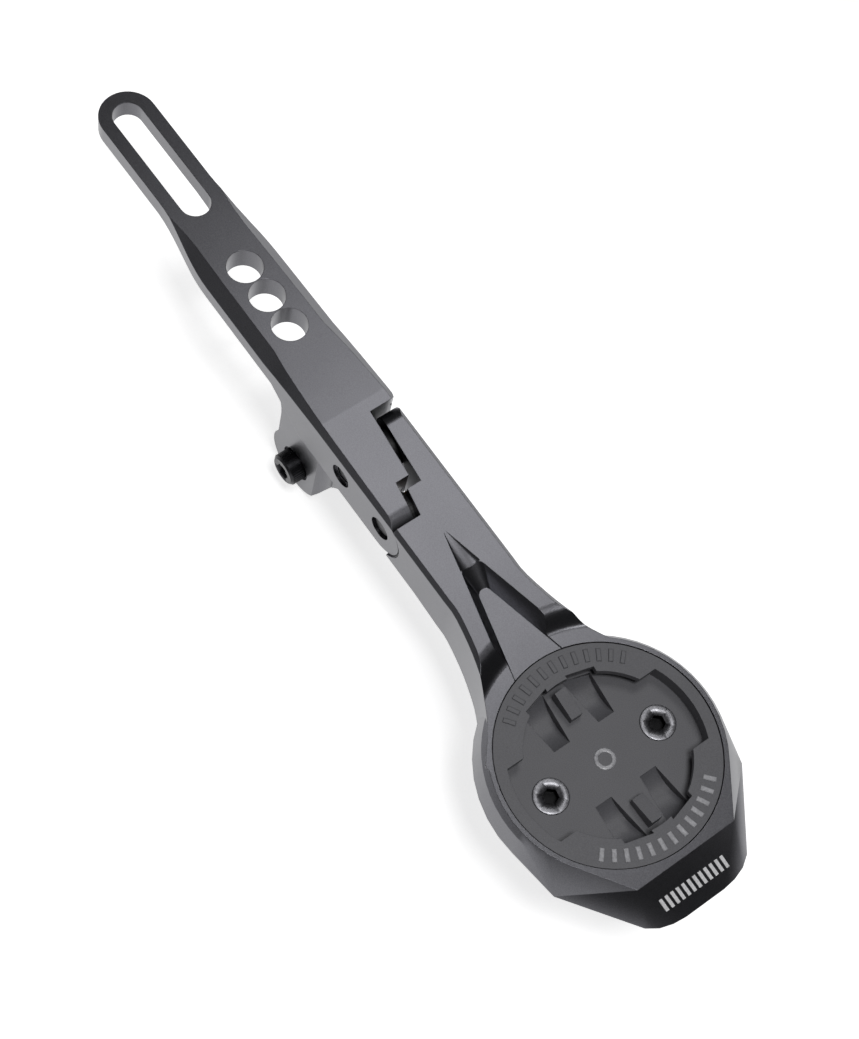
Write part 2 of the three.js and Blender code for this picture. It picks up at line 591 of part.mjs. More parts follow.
// Scooped relief beside a ramp: straight sides, shallow round bottom
function relief(sideX, sideY) {
  const end = BORE_RADIUS;
  const outline = [[5.0, 2.7], [5.0, 5.6], [end - 0.8, 6.3], [end + 0.4, 1.8]];
  const points = outline.map(([x, y]) => [sideX * x, sideY * y]);
  if (sideX * sideY > 0) points.reverse();
  const scoop = postY(sideX * 8.9, 3.5, 5.3, -8, 8, 60);
  return solid(plan(points, -INSERT_BASE, 4)).intersect(solid(scoop));
}

function insertBody() {
  const lipUnder = INSERT_LIP_TOP - LIP_THICKNESS;
  const top = INSERT_LIP_TOP;
  const disc = solid(postZ(0, 0, INSERT_RADIUS, -INSERT_BASE, top, 72));
  const lobes = solid(postZ(0, 0, LOBE_RADIUS, 0, top + 1, 72));
  const passage = block(-LOBE_HALF_WIDTH, LOBE_HALF_WIDTH, -INSERT_RADIUS, INSERT_RADIUS, -1, top + 2);
  const undercut = postZ(0, 0, LOBE_RADIUS, 0, lipUnder, 72);
  const bore = postZ(0, 0, BORE_RADIUS, 0, top + 1, 72);
  let body = cut(disc, bore, undercut).subtract(lobes.intersect(solid(passage)));
  for (const side of [-1, 1]) {
    body = body.add(solid(detentRamp(side)));
    body = body.subtract(relief(side, 1)).subtract(relief(side, -1));
    const y = (side * SCREW_SPACING) / 2;
    const sink = new THREE.CylinderGeometry(3.0, M3_RADIUS + 0.15, 1.5, 36);
    const seat = sink.rotateX(Math.PI / 2).translate(0, y, -0.55);
    const shank = postZ(0, y, M3_RADIUS + 0.15, -INSERT_BASE - 1, 0, 24);
    body = cut(body, seat, shank, postZ(0, y, 3.0, 0.15, 2));
  }
  return body;
}

// Countersunk screw with its flat head level with the insert's floor
function insertScrew(y) {
  const cone = new THREE.CylinderGeometry(M3_HEAD_RADIUS, M3_RADIUS, 1.25, 36);
  const head = cone.rotateX(Math.PI / 2).translate(0, y, -0.655);
  const collar = postZ(0, y, M3_HEAD_RADIUS, -0.035, 0.12, 36);
  const shank = postZ(0, y, M3_RADIUS, HEAD_BOTTOM + 0.3, -0.9, 24);
  const flats = M3_COUNTERSUNK_SOCKET / 2 / Math.cos(Math.PI / 6);
  return cut(join(head, collar, shank), postZ(0, y, flats, -1.0, 1, 6));
}

// ---- assembly -----------------------------------------------------------------------------
const group = new THREE.Group();
const rear = new THREE.Group();
const front = new THREE.Group();

rear.add(piece('rear_arm', rearArm(), ANODISED));
rear.add(piece('pivot_pin', pivotPin(), BLACK_STEEL));
rear.add(piece('pivot_washer', pivotWasher(), ACETAL));
rear.add(piece('lock_washer', lockWasher(), ACETAL));
rear.add(piece('lock_screw', lockScrew(), BLACK_STEEL));
rear.add(piece('lug_screw', lugScrew(), BLACK_STEEL));
rear.add(piece('lug_nut', lugNut(), STEEL));
front.add(piece('front_arm', frontArm(), ANODISED));
front.add(piece('pivot_bushing', pivotBushing(), BRONZE));
front.add(piece('quarter_turn_insert', insertBody(), NYLON));
front.add(piece('insert_screw_left', insertScrew(SCREW_SPACING / 2), STEEL));
front.add(piece('insert_screw_right', insertScrew(-SCREW_SPACING / 2), STEEL));
group.add(rear, front);

export default group;
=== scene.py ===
"""Looks of the out-front computer mount: machined arms, moulded insert, hardware and studio."""

from __future__ import annotations

import logging
import math
from dataclasses import dataclass
from enum import Enum

import bmesh
import bpy
from mathutils import Matrix, Vector


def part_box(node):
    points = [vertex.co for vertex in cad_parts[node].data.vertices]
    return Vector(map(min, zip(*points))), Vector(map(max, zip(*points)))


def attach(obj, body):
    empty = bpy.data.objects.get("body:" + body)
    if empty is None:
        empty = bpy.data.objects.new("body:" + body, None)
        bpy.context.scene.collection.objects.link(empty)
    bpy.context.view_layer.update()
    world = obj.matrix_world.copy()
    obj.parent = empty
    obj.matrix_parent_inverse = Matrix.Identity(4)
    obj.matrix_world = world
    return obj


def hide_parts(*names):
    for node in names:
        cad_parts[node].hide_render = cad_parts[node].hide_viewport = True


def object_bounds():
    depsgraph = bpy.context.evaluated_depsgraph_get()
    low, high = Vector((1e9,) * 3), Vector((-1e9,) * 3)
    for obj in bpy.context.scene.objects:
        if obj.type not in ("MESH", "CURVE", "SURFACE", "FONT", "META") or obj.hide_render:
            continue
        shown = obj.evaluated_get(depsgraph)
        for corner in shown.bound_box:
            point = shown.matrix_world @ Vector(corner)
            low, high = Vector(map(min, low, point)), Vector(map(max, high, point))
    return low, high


MM = 0.001
# Corners of a CAD mesh nearer than this are one, in metres
WELD = 2e-6
# Corners on the seam of a turned piece nearer than this are one, in metres
SEAM = 1e-7
# Triangles of a CAD mesh that turn less than this are one face
FLAT_DEG = 0.4
Section = list[tuple[float, float]]
LOG = logging.getLogger("mount")
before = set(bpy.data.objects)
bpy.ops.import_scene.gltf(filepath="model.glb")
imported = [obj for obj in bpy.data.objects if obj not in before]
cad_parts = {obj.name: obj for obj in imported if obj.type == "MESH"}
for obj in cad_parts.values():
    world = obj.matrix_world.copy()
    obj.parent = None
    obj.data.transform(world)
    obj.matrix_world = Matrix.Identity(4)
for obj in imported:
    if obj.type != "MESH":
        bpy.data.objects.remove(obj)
CAD_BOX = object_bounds()


class Body(Enum):
    """The rigid bodies that pieces ride on."""

    REAR = "rear"
    FRONT = "front"
    LOCK = "lock"
    LUG_BOLT = "lug_bolt"


class Slot(Enum):
    """Material slots of the record."""

    ARM = "anodised_arm"
    INSERT = "moulded_insert"
    BRIGHT = "bright_screw"
    BLACK = "black_screw"
    BRONZE = "bushing_bronze"
    ACETAL = "acetal_washer"


# ---- small helpers ------------------------------------------------------------------------
def linear(code: str) -> tuple[float, float, float, float]:
    """Turns an sRGB hex colour into linear RGBA.

    Args:
        code: six hex digits, such as "2b2c2f".

    Returns:
        Linear red, green, blue and an alpha of 1.
    """
    parts = [int(code[i : i + 2], 16) / 255 for i in (0, 2, 4)]
    parts = [c / 12.92 if c <= 0.04045 else ((c + 0.055) / 1.055) ** 2.4 for c in parts]
    return (parts[0], parts[1], parts[2], 1.0)


def add_node(tree: bpy.types.NodeTree, kind: str, settings: dict | None = None, **links) -> bpy.types.Node:
    """Adds a node, sets its properties, and fills or links its inputs.

    Args:
        tree: the node tree to add to.
        kind: the node's type name.
        settings: properties of the node itself.
        **links: input name (spaces as underscores, or i0, i1... for an index) to a value or an
            output socket.

    Returns:
        The new node.
    """
    node = tree.nodes.new(kind)
    for key, value in (settings or {}).items():
        setattr(node, key, value)
    for key, value in links.items():
        numbered = key[0] == "i" and key[1:].isdigit()
        socket = node.inputs[int(key[1:]) if numbered else key.replace("_", " ")]
        if isinstance(value, bpy.types.NodeSocket):
            tree.links.new(value, socket)
        else:
            socket.default_value = value
    return node


def maths(tree: bpy.types.NodeTree, operation: str, **links) -> bpy.types.NodeSocket:
    """Adds a maths node.

    Args:
        tree: the node tree to add to.
        operation: what the node works out.
        **links: its inputs, as in add_node.

    Returns:
        The node's result.
    """
    return add_node(tree, "ShaderNodeMath", {"operation": operation}, **links).outputs[0]


def spread(
    tree: bpy.types.NodeTree, grain: bpy.types.NodeSocket, low: float, high: float
) -> bpy.types.NodeSocket:
    """Spreads the middle of a noise over a range of values.

    Args:
        tree: the node tree to add to.
        grain: the noise.
        low: value at the noise's low end.
        high: value at its high end.

    Returns:
        The spread value.
    """
    ends = {"From_Min": 0.3, "From_Max": 0.7, "To_Min": low, "To_Max": high}
    return add_node(tree, "ShaderNodeMapRange", Value=grain, **ends).outputs[0]


def mesh_object(name: str, mesh: bpy.types.Mesh) -> bpy.types.Object:
    """Puts a mesh into the scene as an object at the origin.

    Args:
        name: the object's name.
        mesh: its mesh, in metres.

    Returns:
        The new object.
    """
    piece = bpy.data.objects.new(name, mesh)
    bpy.context.scene.collection.objects.link(piece)
    return piece


def finish_mesh(bm: bmesh.types.BMesh, name: str, crease_deg: float = 28.0) -> bpy.types.Mesh:
    """Turns a bmesh into a smooth-shaded mesh with its sharp edges marked.

    Args:
        bm: the source; it is freed.
        name: the mesh's name.
        crease_deg: edges that turn more than this stay sharp.

    Returns:
        The new mesh.
    """
    for face in bm.faces:
        face.smooth = True
    limit = math.radians(crease_deg)
    for edge in bm.edges:
        edge.smooth = len(edge.link_faces) == 2 and edge.calc_face_angle(0.0) < limit
    mesh = bpy.data.meshes.new(name)
    bm.to_mesh(mesh)
    bm.free()
    return mesh


def plain_copy(name: str, source: bpy.types.Object) -> bpy.types.Object:
    """Freezes an object's evaluated modifiers into a new plain mesh object.

    Args:
        name: the new object's name.
        source: the object with live modifiers; it is removed.

    Returns:
        The plain object.
    """
    graph = bpy.context.evaluated_depsgraph_get()
    mesh = bpy.data.meshes.new_from_object(source.evaluated_get(graph), depsgraph=graph)
    mesh.name = name
    piece = mesh_object(name, mesh)
    bpy.data.objects.remove(source)
    return piece


def place(piece: bpy.types.Object, body: Body, slot: Slot, *nodes: str) -> bpy.types.Object:
    """Gives a finished piece its body and hides the CAD nodes it stands for.

    Args:
        piece: the finished piece, at the origin.
        body: the body it moves with.
        slot: the record's slot for its finish; not used.
        *nodes: CAD nodes that it replaces.

    Returns:
        The same piece.
    """
    if nodes:
        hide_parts(*nodes)
    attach(piece, body.value)
    LOG.info("%s on %s, %d faces", piece.name, body.value, len(piece.data.polygons))
    return piece


def centre(node: str) -> Vector:
    """Middle of a CAD node's box."""
    low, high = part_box(node)
    return (Vector(low) + Vector(high)) / 2


def revolved(profile: Section, steps: int) -> bmesh.types.BMesh:
    """Turns a half section about Z.

    Args:
        profile: (radius, height) pairs in millimetres; the first and last are on the axis, or are
            the same point for a ring.
        steps: faces round the axis.

    Returns:
        A closed bmesh in metres.
    """
    bm = bmesh.new()
    points = [bm.verts.new((r * MM, 0.0, z * MM)) for r, z in profile]
    edges = [bm.edges.new(pair) for pair in zip(points, points[1:])]
    bmesh.ops.spin(bm, geom=points + edges, axis=(0, 0, 1), cent=(0, 0, 0), angle=2 * math.pi, steps=steps)
    bmesh.ops.remove_doubles(bm, verts=bm.verts, dist=SEAM)
    bmesh.ops.recalc_face_normals(bm, faces=bm.faces)
    return bm


def merged(node: str) -> bmesh.types.BMesh:
    """Copies a CAD node's mesh with its flat triangles merged into faces.

    Args:
        node: the CAD node.

    Returns:
        A closed bmesh in metres.
    """
    bm = bmesh.new()
    bm.from_mesh(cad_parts[node].data)
    bmesh.ops.remove_doubles(bm, verts=bm.verts, dist=WELD)
    bmesh.ops.dissolve_limit(bm, angle_limit=math.radians(FLAT_DEG), verts=bm.verts, edges=bm.edges)
    return bm


def subtract(target: bpy.types.Object, cutter: bpy.types.Object) -> None:
    """Cuts one closed object out of another, exactly, and removes the cutter.

    Args:
        target: the object that is cut.
        cutter: the object to take away.
    """
    modifier = target.modifiers.new("cut", "BOOLEAN")
    modifier.operation = "DIFFERENCE"
    modifier.solver = "EXACT"
    modifier.object = cutter
    graph = bpy.context.evaluated_depsgraph_get()
    mesh = bpy.data.meshes.new_from_object(target.evaluated_get(graph), depsgraph=graph)
    target.modifiers.remove(modifier)
    target.data = mesh
    bpy.data.objects.remove(cutter)


def cut_socket(screw: bpy.types.Object, radius: float, depth: float, where: Matrix) -> None:
    """Cuts a hexagon driver socket into a screw.

    Args:
        screw: the screw.
        radius: middle of the socket to its corners, in metres.
        depth: length of the cutter, which stands half out of the head.
        where: place and turn of the cutter, with its middle in the head's end face.
    """
    bm = bmesh.new()
    sizes = {"radius1": radius, "radius2": radius, "depth": depth}
    bmesh.ops.create_cone(bm, cap_ends=True, segments=6, matrix=where, **sizes)
    name = screw.name + "_socket"
    subtract(screw, mesh_object(name, finish_mesh(bm, name)))


# ---- finishes -----------------------------------------------------------------------------
@dataclass(frozen=True)
class Finish:
    """A procedural surface: two close tones, grain in the roughness and a fine bump.

    Attributes:
        name: the material's common name and how its surface was made.
        dark: sRGB hex of the darker tone.
        light: sRGB hex of the lighter tone.
        metallic: 1 for bare or anodised metal.
        roughness: middle roughness.
        rough_swing: how far the grain moves the roughness.
        grain_mm: size of the fine grain.
        cloud_mm: size of the slow tone changes.
        bump_mm: height of the grain.
        edge_mm: radius that edges are broken to.
        specular: specular level of a plastic.
    """

    name: str
    dark: str
    light: str
    metallic: float
    roughness: float
    rough_swing: float
    grain_mm: float
    cloud_mm: float
    bump_mm: float
    edge_mm: float
    specular: float = 0.5

    def build(self) -> bpy.types.Material:
        """Builds the node material.

        Returns:
            The material, or the one already built under this name.
        """
        ready = bpy.data.materials.get(self.name)
        if ready:
            return ready
        material = bpy.data.materials.new(self.name)
        material.use_nodes = True
        tree = material.node_tree
        shader = tree.nodes["Principled BSDF"]
        place_in = add_node(tree, "ShaderNodeTexCoord").outputs["Object"]
        fine, slow = 1 / (self.grain_mm * MM), 1 / (self.cloud_mm * MM)
        grain = add_node(tree, "ShaderNodeTexNoise", Vector=place_in, Scale=fine, Detail=3.0)
        cloud = add_node(tree, "ShaderNodeTexNoise", Vector=place_in, Scale=slow, Detail=2.0)
        tones = add_node(
            tree,
            "ShaderNodeMix",
            {"data_type": "RGBA"},
            i0=cloud.outputs[0],
            i6=linear(self.dark),
            i7=linear(self.light),
        )
        smoothest, roughest = self.roughness - self.rough_swing, self.roughness + self.rough_swing
        speck = spread(tree, grain.outputs[0], 0.85, 1.15)
        scaled = add_node(
            tree, "ShaderNodeVectorMath", {"operation": "SCALE"}, i0=tones.outputs[2], Scale=speck
        )
        rough = spread(tree, grain.outputs[0], smoothest, roughest)
        edges = add_node(tree, "ShaderNodeBevel", {"samples": 4}, Radius=self.edge_mm * MM)
        bump = add_node(
            tree,
            "ShaderNodeBump",
            Height=grain.outputs[0],
            Strength=0.6,
            Distance=self.bump_mm * MM,
            Normal=edges.outputs[0],
        )
        tree.links.new(scaled.outputs[0], shader.inputs["Base Color"])
        tree.links.new(rough, shader.inputs["Roughness"])
        tree.links.new(bump.outputs[0], shader.inputs["Normal"])
        shader.inputs["Metallic"].default_value = self.metallic
        shader.inputs["Specular IOR Level"].default_value = self.specular
        return material


# Hard anodising over bead blasting: a dark satin that turns mid grey where it mirrors the light
ANODISED = Finish(
    "black hard-anodised bead-blasted aluminium",
    dark="626266",
    light="6a6a6e",
    metallic=1.0,
    roughness=0.3,
    rough_swing=0.02,
    grain_mm=0.16,
    cloud_mm=9.0,
    bump_mm=0.001,
    edge_mm=0.14,
)
# Glass-filled nylon from a fine-spark mould: as dark as the metal, and flatter
NYLON = Finish(
    "moulded glass-filled nylon, black",
    dark="616165",
    light="69696d",
    metallic=0.0,
    roughness=0.42,
    rough_swing=0.03,
    grain_mm=0.16,
    cloud_mm=6.0,
    bump_mm=0.0015,
    edge_mm=0.12,
    specular=0.5,
)
# Raised marks with a painted highlight: the same nylon, painted paler as if catching the light, with a
# tighter sheen
NYLON_HIGHLIGHT = Finish(
    "handling-burnished glass-filled nylon",
    dark="8c8c90",
    light="cacace",
    metallic=0.0,
    roughness=0.3,
    rough_swing=0.04,
    grain_mm=0.3,
    cloud_mm=0.8,
    bump_mm=0.001,
    edge_mm=0.1,
    specular=0.6,
)
# Plain stainless heads, tumbled: pale with a salt-and-pepper speckle
STAINLESS = Finish(
    "tumbled stainless steel",
    dark="66666a",
    light="a2a2a6",
    metallic=1.0,
    roughness=0.4,
    rough_swing=0.08,
    grain_mm=0.28,
    cloud_mm=0.45,
    bump_mm=0.006,
    edge_mm=0.06,
)
# Inside the driver sockets: the same steel, painted near black as the shade in the recess
SOCKET_SHADE = Finish(
    "grease-darkened stainless steel",
    dark="1a1a1b",
    light="242425",
    metallic=1.0,
    roughness=0.5,
    rough_swing=0.05,
    grain_mm=0.2,
    cloud_mm=1.0,
    bump_mm=0.002,
    edge_mm=0.04,
)
# Black oxide on alloy steel: near black, with a tight oily sheen
BLACK_OXIDE = Finish(
    "black-oxide alloy steel",
    dark="333335",
    light="3d3d40",
    metallic=1.0,
    roughness=0.34,
    rough_swing=0.05,
    grain_mm=0.2,
    cloud_mm=3.0,
    bump_mm=0.003,
    edge_mm=0.08,
)
# Sintered bronze: warm and even
BRONZE = Finish(
    "oil-filled sintered bronze",
    dark="8a6a3a",
    light="9c7c4a",
    metallic=1.0,
    roughness=0.42,
    rough_swing=0.05,
    grain_mm=0.2,
    cloud_mm=2.0,
    bump_mm=0.003,
    edge_mm=0.05,
)
# Black acetal: waxy and even, lost in the shade of the joint
ACETAL = Finish(
    "black acetal, turned",
    dark="161617",
    light="1d1d1f",
    metallic=0.0,
    roughness=0.45,
    rough_swing=0.04,
    grain_mm=0.3,
    cloud_mm=3.0,
    bump_mm=0.002,
    edge_mm=0.05,
)
# Pad-printed white ink on the nose
INK = Finish(
    "pad-printed white ink",
    dark="ececee",
    light="f6f6f7",
    metallic=0.0,
    roughness=0.5,
    rough_swing=0.03,
    grain_mm=0.3,
    cloud_mm=2.0,
    bump_mm=0.001,
    edge_mm=0.02,
)


def dress(piece: bpy.types.Object, finish: Finish) -> None:
    """Gives a piece one material in place of any it has."""
    piece.data.materials.clear()
    piece.data.materials.append(finish.build())


# ---- node-built patterns ------------------------------------------------------------------
@dataclass(frozen=True)
class Pattern:
    """Copies of a small template along an arc, or along a straight row when the radius is 0.

    Attributes:
        name: name of the finished piece.
        count: number of copies.
        radius_mm: radius of the arc, or 0 for a row along Y.
        start_deg: angle of the first copy.
        sweep_deg: angle from the first copy to the last.
        pitch_mm: distance between copies in a row.
    """

    name: str
    count: int
    radius_mm: float = 0.0
    start_deg: float = 0.0
    sweep_deg: float = 0.0
    pitch_mm: float = 0.0

    def tree(self) -> bpy.types.GeometryNodeTree:
        """Builds the node tree with its named inputs.

        Returns:
            The geometry node tree.
        """
        tree = bpy.data.node_groups.new(self.name, "GeometryNodeTree")
        sockets = (
            ("Geometry", "NodeSocketGeometry"),
            ("Template", "NodeSocketObject"),
            ("Count", "NodeSocketInt"),
            ("Radius", "NodeSocketFloat"),
            ("Start", "NodeSocketFloat"),
            ("Step", "NodeSocketFloat"),
            ("Pitch", "NodeSocketFloat"),
            ("Material", "NodeSocketMaterial"),
        )
        for label, kind in sockets:
            tree.interface.new_socket(label, in_out="INPUT", socket_type=kind)
        tree.interface.new_socket("Geometry", in_out="OUTPUT", socket_type="NodeSocketGeometry")
        given = add_node(tree, "NodeGroupInput").outputs
        line = add_node(tree, "GeometryNodeMeshLine", Count=given["Count"], Offset=(0.0, 0.0, 0.0))
        index = add_node(tree, "GeometryNodeInputIndex").outputs[0]
        turn = maths(tree, "MULTIPLY_ADD", i0=index, i1=given["Step"], i2=given["Start"])
        cosine = maths(tree, "COSINE", i0=turn)
        sine = maths(tree, "SINE", i0=turn)
        out_x = maths(tree, "MULTIPLY", i0=cosine, i1=given["Radius"])
        along = maths(tree, "MULTIPLY", i0=index, i1=given["Pitch"])
        out_y = maths(tree, "MULTIPLY_ADD", i0=sine, i1=given["Radius"], i2=along)
        spot = add_node(tree, "ShaderNodeCombineXYZ", X=out_x, Y=out_y).outputs[0]
        turned = add_node(tree, "ShaderNodeCombineXYZ", Z=turn).outputs[0]
        points = add_node(tree, "GeometryNodeSetPosition", Geometry=line.outputs[0], Position=spot)
        template = add_node(tree, "GeometryNodeObjectInfo", Object=given["Template"])
        copies = add_node(
            tree,
            "GeometryNodeInstanceOnPoints",
            Points=points.outputs[0],
            Instance=template.outputs["Geometry"],
            Rotation=turned,
        )
        solid = add_node(tree, "GeometryNodeRealizeInstances", Geometry=copies.outputs[0])
        painted = add_node(
            tree, "GeometryNodeSetMaterial", Geometry=solid.outputs[0], Material=given["Material"]
        )
        out = tree.nodes.new("NodeGroupOutput")
        tree.links.new(painted.outputs[0], out.inputs[0])
        return tree

    def build(self, template: bmesh.types.BMesh, finish: Finish, at: Matrix) -> bpy.types.Object:
        """Makes the finished copies as one plain mesh.

        Args:
            template: one copy, at the origin; it is freed.
            finish: the surface of every copy.
            at: where the pattern's own frame goes.

        Returns:
            The plain object, at the origin.
        """
        sample = mesh_object(self.name + "_template", finish_mesh(template, self.name + "_template"))
        holder = mesh_object(self.name + "_holder", bpy.data.meshes.new(self.name + "_holder"))
        tree = self.tree()
        modifier = holder.modifiers.new("pattern", "NODES")
        modifier.node_group = tree
        values = {
            "Template": sample,
            "Count": self.count,
            "Radius": self.radius_mm * MM,
            "Start": math.radians(self.start_deg),
            "Step": math.radians(self.sweep_deg) / max(self.count - 1, 1),
            "Pitch": self.pitch_mm * MM,
            "Material": finish.build(),
        }
        for item in tree.interface.items_tree:
            if item.in_out == "INPUT" and item.name in values:
                modifier[item.identifier] = values[item.name]
        piece = plain_copy(self.name, holder)
        bpy.data.objects.remove(sample)
        piece.data.transform(at)
        return piece


def bar(
    length: float, width: float, height: float, slant: float = 0.0, soften: float = 0.0
) -> bmesh.types.BMesh:
    """A small flat bar standing on Z = 0, for raised or printed marks.

    Args:
        length: size along X, in millimetres.
        width: size along Y.
        height: size along Z.
        slant: how far the far end is shifted along Y.
        soften: bevel on the upper edges.

    Returns:
        A closed bmesh in metres.
    """
    bm = bmesh.new()
    bmesh.ops.create_cube(bm, size=1.0)
    for vert in bm.verts:
        shift = slant * vert.co.x
        vert.co = Vector((vert.co.x * length, vert.co.y * width + shift, (vert.co.z + 0.5) * height)) * MM
    if soften:
        top = [e for e in bm.edges if all(v.co.z > height * MM * 0.5 for v in e.verts)]
        bmesh.ops.bevel(bm, geom=top, offset=soften * MM, segments=2, affect="EDGES")
    return bm


# ---- machined arms ------------------------------------------------------------------------
@dataclass
class MachinedArm:
    """One anodised arm, refined from its CAD solid with broken edges.

    Attributes:
        node: the CAD node.
        name: name of the finished piece.
        body: the body it rides on.
        crease_deg: edges that turn more than this stay crisp.
        broad_mm2: area from which a face counts as broad.
        shallow_deg: creases between broad faces stay crisp from this angle.
    """

    node: str
    name: str
    body: Body
    crease_deg: float = 18.0
    broad_mm2: float = 25.0
    shallow_deg: float = 1.0

    def creases(self, bm: bmesh.types.BMesh) -> list[int]:
        """Finds the shallow creases between two broad flat faces, which stay crisp.

        Args:
            bm: the merged arm.

        Returns:
            Indices of those edges.
        """
        bm.edges.index_update()
        broad = self.broad_mm2 * MM * MM
        found = []
        for edge in bm.edges:
            if len(edge.link_faces) == 2 and min(face.calc_area() for face in edge.link_faces) > broad:
                if edge.calc_face_angle(0.0) > math.radians(self.shallow_deg):
                    found.append(edge.index)
        return found

    def build(self) -> bpy.types.Object:
        """Builds, dresses and places the arm.

        Returns:
            The finished piece.
        """
        bm = merged(self.node)
        creases = self.creases(bm)
        draft = mesh_object(self.name + "_draft", finish_mesh(bm, self.name + "_draft", self.crease_deg))
        for index in creases:
            draft.data.edges[index].use_edge_sharp = True
        weighted = draft.modifiers.new("weighted", "WEIGHTED_NORMAL")
        weighted.keep_sharp = True
        weighted.weight = 60
        piece = plain_copy(self.name, draft)
        dress(piece, ANODISED)
        return place(piece, self.body, Slot.ARM, self.node)


# ---- quarter-turn insert ------------------------------------------------------------------
@dataclass
class QuarterTurnInsert:
    """The moulded insert with its marks and its two countersunk screws.

    Attributes:
        mark_radius: radius of the raised marks on the lip.
        mark_count: raised marks in each arc.
        arc_deg: sweep of each arc.
    """

    mark_radius: float = 15.1
    mark_count: int = 13
    arc_deg: float = 84.0

    def disc(self) -> bpy.types.Object:
        """The insert's disc, refined from the CAD solid."""
        name = "insert_disc_moulded"
        piece = mesh_object(name, finish_mesh(merged("quarter_turn_insert"), name))
        dress(piece, NYLON)
        return place(piece, Body.FRONT, Slot.INSERT, "quarter_turn_insert")

    def marks(self, name: str, middle_deg: float, finish: Finish) -> bpy.types.Object:
        """One arc of plain raised marks on the lip.

        Args:
            name: name of the piece.
            middle_deg: where the arc's middle lies.
            finish: the surface of the marks.

        Returns:
            The finished piece.
        """
        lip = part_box("quarter_turn_insert")[1][2]
        start = middle_deg - self.arc_deg / 2
        pattern = Pattern(name, self.mark_count, self.mark_radius, start, self.arc_deg)
        template = bar(length=2.0, width=0.75, height=0.2, soften=0.07)
        sunk = 0.04 * MM
        piece = pattern.build(template, finish, Matrix.Translation((0, 0, lip - sunk)))
        return place(piece, Body.FRONT, Slot.INSERT)

    def axis_mark(self) -> bpy.types.Object:
        """A plain raised ring on the floor, round the axis that the computer turns about."""
        section = [(1.0, -0.05), (1.07, 0.14), (1.15, 0.18), (1.55, 0.18)]
        section += [(1.63, 0.14), (1.7, -0.05), (1.0, -0.05)]
        piece = mesh_object("axis_mark", finish_mesh(revolved(section, steps=48), "axis_mark"))
        # Painted highlight: the ring takes the paler nylon so that it reads as lit
        dress(piece, NYLON_HIGHLIGHT)
        return place(piece, Body.FRONT, Slot.INSERT)

    def screw(self, node: str) -> bpy.types.Object:
        """A countersunk screw with a broken rim and a hexagon socket.

        Args:
            node: the CAD screw it stands for.

        Returns:
            The finished piece.
        """
        low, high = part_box(node)
        radius = (high[0] - low[0]) / 2 / MM
        top, bottom = high[2] / MM, low[2] / MM
        shank = 1.5
        section = [(0, top), (radius - 0.12, top), (radius - 0.03, top - 0.04), (radius, top - 0.12)]
        section += [(shank + 0.05, top - 1.4), (shank, bottom + 0.3), (shank - 0.25, bottom), (0, bottom)]
        name = node + "_turned"
        piece = mesh_object(name, finish_mesh(revolved(section, steps=64), name))
        spot = centre(node)
        piece.data.transform(Matrix.Translation((spot.x, spot.y, 0)))
        turn = Matrix.Rotation(0.35, 4, "Z")
        where = Matrix.Translation((spot.x, spot.y, high[2])) @ turn
        cut_socket(piece, 1.22 * MM, 2.8 * MM, where)
        dress(piece, STAINLESS)
        # Painted shade: the faces inside the socket get the near-black steel
        piece.data.materials.append(SOCKET_SHADE.build())
        inside, floor, mouth = 1.2 * MM, high[2] - 1.6 * MM, high[2] - 0.05 * MM
        for face in piece.data.polygons:
            reach = math.hypot(face.center.x - spot.x, face.center.y - spot.y)
            if reach < inside and floor < face.center.z < mouth:
                face.material_index = 1
        return place(piece, Body.FRONT, Slot.BRIGHT, node)

    def build(self) -> None:
        """Builds the disc, its marks and both screws."""
        self.disc()
        # Painted highlight on the front marks; the rear marks keep the plain nylon, unlit
        self.marks("lip_marks_front", middle_deg=0.0, finish=NYLON_HIGHLIGHT)
        self.marks("lip_marks_rear", middle_deg=176.0, finish=NYLON)
        self.axis_mark()
        self.screw("insert_screw_left")
        self.screw("insert_screw_right")


